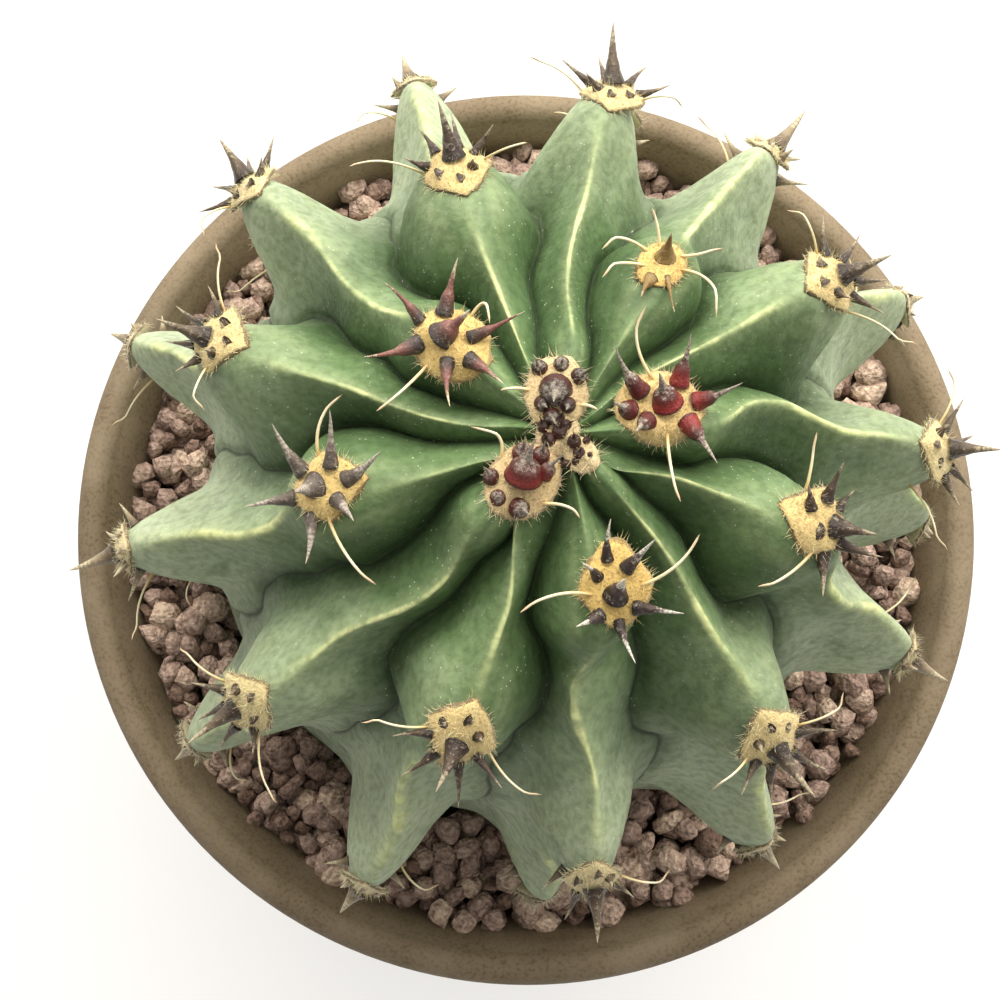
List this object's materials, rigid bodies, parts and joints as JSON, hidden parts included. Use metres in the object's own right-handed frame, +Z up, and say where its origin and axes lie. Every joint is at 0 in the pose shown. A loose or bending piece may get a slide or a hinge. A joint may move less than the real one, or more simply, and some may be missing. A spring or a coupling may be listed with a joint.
{
  "type": "potted cactus",
  "caption": "Round ribbed barrel cactus with woolly, dark-spined areoles, standing in a taupe thick-lipped bowl of soil topped with lava grit.",
  "frame": {"origin": "on the ground under the centre of the bowl", "axes": "+Z up; -Y is the side nearest the viewer and +X is to the viewer's right; the bowl is round about Z"},
  "size_m": [0.18, 0.18, 0.2068],
  "materials": {
    "bowl_stoneware": "matte",
    "potting_soil": "crumbly",
    "lava_grit": "rough",
    "root_cork": "corky",
    "cactus_skin": "waxy bloom",
    "areole_wool_and_spines": "felted wool with hard spines"
  },
  "bodies": {
    "root": {"bowl": "bowl_stoneware", "soil": "potting_soil", "grit_bed": "lava_grit", "grit_stone_01": "lava_grit", "grit_stone_02": "lava_grit", "grit_stone_03": "lava_grit", "grit_stone_04": "lava_grit", "grit_stone_05": "lava_grit", "grit_stone_06": "lava_grit", "grit_stone_07": "lava_grit", "grit_stone_08": "lava_grit", "grit_stone_09": "lava_grit", "grit_stone_10": "lava_grit", "grit_stone_11": "lava_grit", "grit_stone_12": "lava_grit", "root_crown": "root_cork", "stem": "cactus_skin", "areole_01": "areole_wool_and_spines", "areole_02": "areole_wool_and_spines", "areole_03": "areole_wool_and_spines", "areole_04": "areole_wool_and_spines", "areole_05": "areole_wool_and_spines", "areole_06": "areole_wool_and_spines", "areole_07": "areole_wool_and_spines", "areole_08": "areole_wool_and_spines", "areole_09": "areole_wool_and_spines", "areole_10": "areole_wool_and_spines", "areole_11": "areole_wool_and_spines", "areole_12": "areole_wool_and_spines", "areole_13": "areole_wool_and_spines", "areole_14": "areole_wool_and_spines", "areole_15": "areole_wool_and_spines", "areole_16": "areole_wool_and_spines", "areole_17": "areole_wool_and_spines", "areole_18": "areole_wool_and_spines", "areole_19": "areole_wool_and_spines", "areole_20": "areole_wool_and_spines", "areole_21": "areole_wool_and_spines", "areole_22": "areole_wool_and_spines", "areole_23": "areole_wool_and_spines", "areole_24": "areole_wool_and_spines", "areole_25": "areole_wool_and_spines", "areole_26": "areole_wool_and_spines", "areole_27": "areole_wool_and_spines", "areole_28": "areole_wool_and_spines", "areole_29": "areole_wool_and_spines", "areole_30": "areole_wool_and_spines", "areole_31": "areole_wool_and_spines", "areole_32": "areole_wool_and_spines", "areole_33": "areole_wool_and_spines", "areole_34": "areole_wool_and_spines"}
  },
  "joints": []
}
